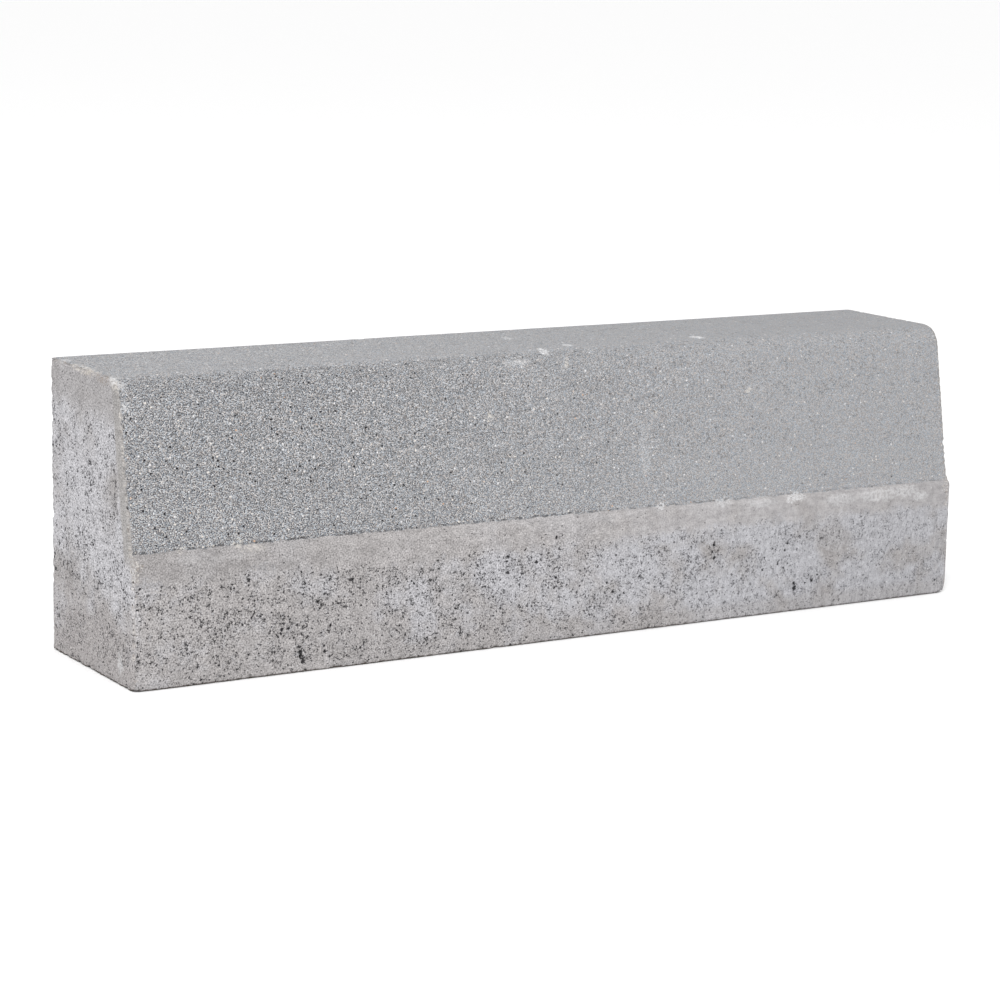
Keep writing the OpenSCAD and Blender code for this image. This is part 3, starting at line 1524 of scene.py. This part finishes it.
        # Painted shade in the gaps between the grains, where the bump sinks them.
        colour = graph.blend(graph.times(grain["Gap"], crisp, look.gap_shade_strength), colour, self.gap_shade_tint)
        spacing = look.bit_spacing
        pale = bits.place(
            graph, Place=sheet, Spacing=spacing, Reach=look.pale_reach, Share=look.pale_share
        )
        pale_tint = graph.blend(graph.grade(pale["Pick"], 0.35, 0.75), self.lime_tint, self.cream_tint)
        pale_tint = graph.blend(graph.grade(pale["Pick"], 0.9, 0.94), pale_tint, self.rust_tint)
        colour = graph.blend(graph.times(pale["Mask"], at.along(look.pale_grains)), colour, pale_tint)
        # Painted shade: sparse small pits on the facing, painted near-black.
        shifted = graph.vector("ADD", sheet, look.pit_shade_shift)
        black = bits.place(
            graph, Place=shifted, Spacing=spacing, Reach=look.pit_shade_reach, Share=look.pit_shade_share
        )
        colour = graph.blend(graph.times(black["Mask"], crisp), colour, self.hole_shade_tint)
        # Painted light: the top is lighter toward the left end, and the nose a little darker there, as light
        # falls on them.
        top_lift = graph.times(masks["top"], at.along(look.top_painted_light))
        nose_lift = graph.times(masks["nose"], at.along(look.nose_painted_light))
        lift = graph.plus(top_lift, nose_lift, at.along(look.facing_light))
        colour = graph.blend(1.0, colour, graph.vector("SCALE", look.whole_cast, lift), "MULTIPLY")
        return colour, graph.times(grain["Height"], crisp, look.grain_relief)

    def _skin(self, at: Surface) -> tuple[Socket, Socket]:
        """Makes the cement skin.

        Args:
            at: the surface.

        Returns:
            Its colour, and its height in millimetres.
        """
        look = self.skin
        graph, sheet, masks, bits = at.graph, at.sheet, at.masks, at.bits
        wide = at.noise(look.wide_length, 3, 0.6)
        streak = at.stretched(look.streak_stretch, look.streak_length)
        wipe = at.stretched(look.wipe_stretch, look.wipe_length)
        mottle = at.noise(look.mottle_length, 2, 0.7)
        sand = at.noise(look.sand_length, 1, 0.6)
        warm_foot = graph.times(masks["end"], graph.grade(masks["z"], *self.zones.warm_foot))
        streaks = graph.grade(streak, 0.6, 0.36, 0.0, look.streak_dark)
        colour = graph.blend(streaks, self.skin_tint, self.skin_dark)
        colour = graph.blend(warm_foot, colour, self.warm_tint)
        calm = graph.most(masks["smear"], masks["strip"], masks["cap"])
        bloom = self._bloom(at, wide, mottle, calm)
        end_bloom = tuple(look.end_bloom * part for part in self.bloom_tint)
        bloom_tint = graph.blend(masks["end"], self.bloom_tint, end_bloom)
        colour = graph.blend(graph.times(bloom, at.along(look.bloom_share)), colour, bloom_tint)
        colour = graph.blend(graph.times(masks["strip"], look.strip_share), colour, self.strip_tint)
        wiped = graph.times(masks["smear"], graph.minus(wipe, 0.5))
        sandy = at.along(look.skin_sand)
        damp = graph.times(masks["smear"], at.along(look.ledge_damp))
        damp = graph.most(damp, graph.times(masks["cap"], look.cap_damp))
        shade = graph.times(
            graph.grade(mottle, 0.3, 0.7, 0.9, 1.1),
            graph.plus(1.0, graph.times(graph.minus(sand, 0.5), sandy)),
            graph.plus(1.0, graph.times(wiped, look.wipe)),
            graph.minus(1.0, damp),
            at.along(look.skin_light),
        )
        colour = graph.blend(1.0, colour, graph.vector("SCALE", (1.0, 1.0, 1.0), shade), "MULTIPLY")
        amount = graph.times(
            graph.fade(masks["strip"], look.strip_holes),
            graph.fade(masks["smear"], look.smear_holes),
            graph.fade(masks["cap"], look.cap_holes),
            graph.fade(masks["foot"], look.foot_holes),
            graph.fade(warm_foot, look.warm_holes),
            at.along(look.hole_share),
        )
        thick = self._patch_mask(graph, at.place, Mark.PITS)
        holes = bug_holes(bits).place(graph, Place=sheet, Amount=amount, Thick=thick)
        # Pale grit and small pale lumps stand among the holes, and painted shade darkens the hollows in
        # their clusters.
        grit = bits.place(
            graph,
            Place=graph.vector("ADD", sheet, look.grit_shift),
            Spacing=look.grit_spacing,
            Reach=look.grit_reach,
            Share=graph.grade(holes["Cluster"], 0.0, 1.0, look.grit_few, look.grit_many),
        )
        colour = graph.blend(graph.times(grit["Mask"], look.grit_pale), colour, self.lime_tint)
        colour = graph.blend(graph.times(holes["Lump"], look.lump_pale), colour, self.bloom_tint)
        # Painted shade over the hollows in the clusters, where the sand noise is low.
        hollow = graph.times(holes["Cluster"], graph.grade(sand, 0.5, 0.3), look.hollow_shade_strength)
        colour = graph.blend(hollow, colour, self.hole_shade_tint)
        # Painted shade: the bug holes go near-black; only the wider ones also sink in the bump.
        dark = graph.times(holes["Mask"], at.along(look.skin_crisp), look.hole_shade_strength)
        colour = graph.blend(dark, colour, self.hole_shade_tint)
        # Dark brown along the bed arris, fading toward the right: partly dirt and partly painted contact
        # shadow.
        foot_dirt_and_shadow_edge = graph.plus(masks["z"], graph.times(mottle, look.foot_dirt_and_shadow_wander))
        foot_dirt_and_shadow = graph.times(graph.grade(foot_dirt_and_shadow_edge, *look.foot_dirt_and_shadow_height), at.along(look.foot_dirt_and_shadow_share))
        colour = graph.blend(foot_dirt_and_shadow, colour, self.foot_dirt_and_shadow_tint)
        # The height is added everywhere, so the lumps are kept off the facing.
        lumps = at.stretched(look.lump_stretch, look.lump_length)
        off_facing = graph.minus(1.0, masks["facing"])
        lumpy = graph.times(amount, at.along(look.lump_height), off_facing, lumps)
        rough = graph.plus(graph.times(sand, look.sand_relief), lumpy)
        return colour, graph.minus(rough, graph.times(holes["Wide"], look.hole_relief))

    def _bloom(self, at: Surface, wide: Socket, mottle: Socket, calm: Socket) -> Socket:
        """Spreads the bluish lime bloom.

        Args:
            at: the surface.
            wide: a broad noise.
            mottle: a finer noise.
            calm: where the skin is smooth and takes little bloom.

        Returns:
            How strong the bloom is.
        """
        graph, masks = at.graph, at.masks
        lean_right = at.along(self.skin.bloom_lean)
        on_end = graph.times(masks["end"], graph.grade(masks["z"], 30.0, 130.0, -0.12, 0.16))
        level = graph.plus(wide, lean_right, on_end)
        bloom = graph.times(
            graph.grade(level, graph.grade(masks["end"], 0.0, 1.0, 0.40, 0.30), 0.66),
            graph.fade(calm, 0.25),
            graph.fade(masks["foot"], 0.5),
        )
        return graph.most(bloom, self._patch_mask(graph, at.stirred(mottle, 40.0), Mark.BLOOM))

    def _seam(self, at: Surface, colour: Socket) -> Socket:
        """Paints a broken line of shade where the facing starts above the ledge.

        Args:
            at: the surface.
            colour: the colour so far.

        Returns:
            The colour with its line.
        """
        graph, masks = at.graph, at.masks
        wander = graph.times(graph.minus(at.noise(6, 1), 0.5), 4.0)
        off_line = graph.math("ABSOLUTE", graph.plus(graph.minus(masks["over_seam"], 0.9), wander))
        line = graph.times(graph.grade(off_line, 1.7, 0.3), masks["facing"])
        broken = graph.grade(at.noise(10, 2, 0.7), 0.42, 0.58)
        # Painted shade along the seam, fading toward the right end.
        fading = at.along(self.seam_shade)
        return graph.blend(graph.times(line, broken, fading), colour, self.hole_shade_tint)

    def _chipped(self, at: Surface, colour: Socket) -> Socket:
        """Lays bare cream and brown bits along the end arrises.

        Args:
            at: the surface.
            colour: the colour so far.

        Returns:
            The colour with its arrises.
        """
        graph, masks = at.graph, at.masks
        speckle = at.noise(2.6, 1, 0.6)
        spread = graph.minus(at.noise(9, 2, 0.7), 0.5)
        near = graph.grade(graph.plus(masks["arris"], graph.times(spread, 14.0)), 4.0, 1.0)
        pale = graph.times(near, graph.grade(speckle, 0.54, 0.64), 0.6)
        dull = graph.times(near, graph.grade(speckle, 0.46, 0.36), 0.4)
        colour = graph.blend(dull, colour, self.brown_tint)
        return graph.blend(pale, colour, self.cream_tint)

    def _patch_mask(self, graph: Graph, place: Socket, mark: Mark) -> Socket:
        """Gathers the patches of one kind.

        Args:
            graph: the material's graph.
            place: the place in millimetres, stirred so that the outlines are ragged.
            mark: the kind.

        Returns:
            How strongly they show.
        """
        total: Feed = 0.0
        for patch in PATCHES[mark]:
            scaled = graph.add("ShaderNodeVectorMath", operation="MULTIPLY_ADD")
            graph.plug(scaled.inputs[0], place)
            scaled.inputs[1].default_value = [1 / reach for reach in patch.reach]
            sides = zip(patch.centre, patch.reach, strict=True)
            scaled.inputs[2].default_value = [-centre / reach for centre, reach in sides]
            away = graph.vector("LENGTH", scaled.outputs[0], 0.0)
            total = graph.most(total, graph.grade(away, 1.05, 0.5, 0.0, patch.strength))
        return total

    def _marks(self, at: Surface, colour: Socket) -> Socket:
        """Lays the marks of lime, cream and brown over the finish, and the strips of painted shade.

        Args:
            at: the surface.
            colour: the colour so far.

        Returns:
            The colour with its marks.
        """
        graph = at.graph
        moved = at.stirred(at.noise(5, 2, 0.8), 14.0)
        dapple = at.noise(3.0, 1, 0.7)
        soft = graph.grade(dapple, 0.3, 0.7, 0.5, 1.0)
        patchy = graph.grade(dapple, 0.36, 0.6, 0.3, 1.0)
        crumbly = graph.grade(dapple, 0.42, 0.58, 0.1, 1.0)
        tints = {
            Mark.SHADE: (self.shade_tint, soft),
            Mark.BROWN: (self.brown_tint, crumbly),
            Mark.CREAM: (self.cream_tint, crumbly),
            Mark.LIME: (self.lime_tint, patchy),
        }
        for mark, (tint, breaks) in tints.items():
            mask = graph.times(self._patch_mask(graph, moved, mark), breaks)
            colour = graph.blend(mask, colour, tint)
        return colour


def main() -> None:
    """Builds the stone and its stage."""
    logging.basicConfig(level=logging.INFO, format="%(name)s %(message)s")
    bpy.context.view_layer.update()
    low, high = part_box(NODE)
    section = Section(Vector(low), Vector(high))
    stone = KerbStone(section)
    piece = stone.build()
    piece.data.materials.append(Concrete(section).build())
    Viewpoint().build()
    Studio().build(section.low.z)


if __name__ == "__main__":
    main()
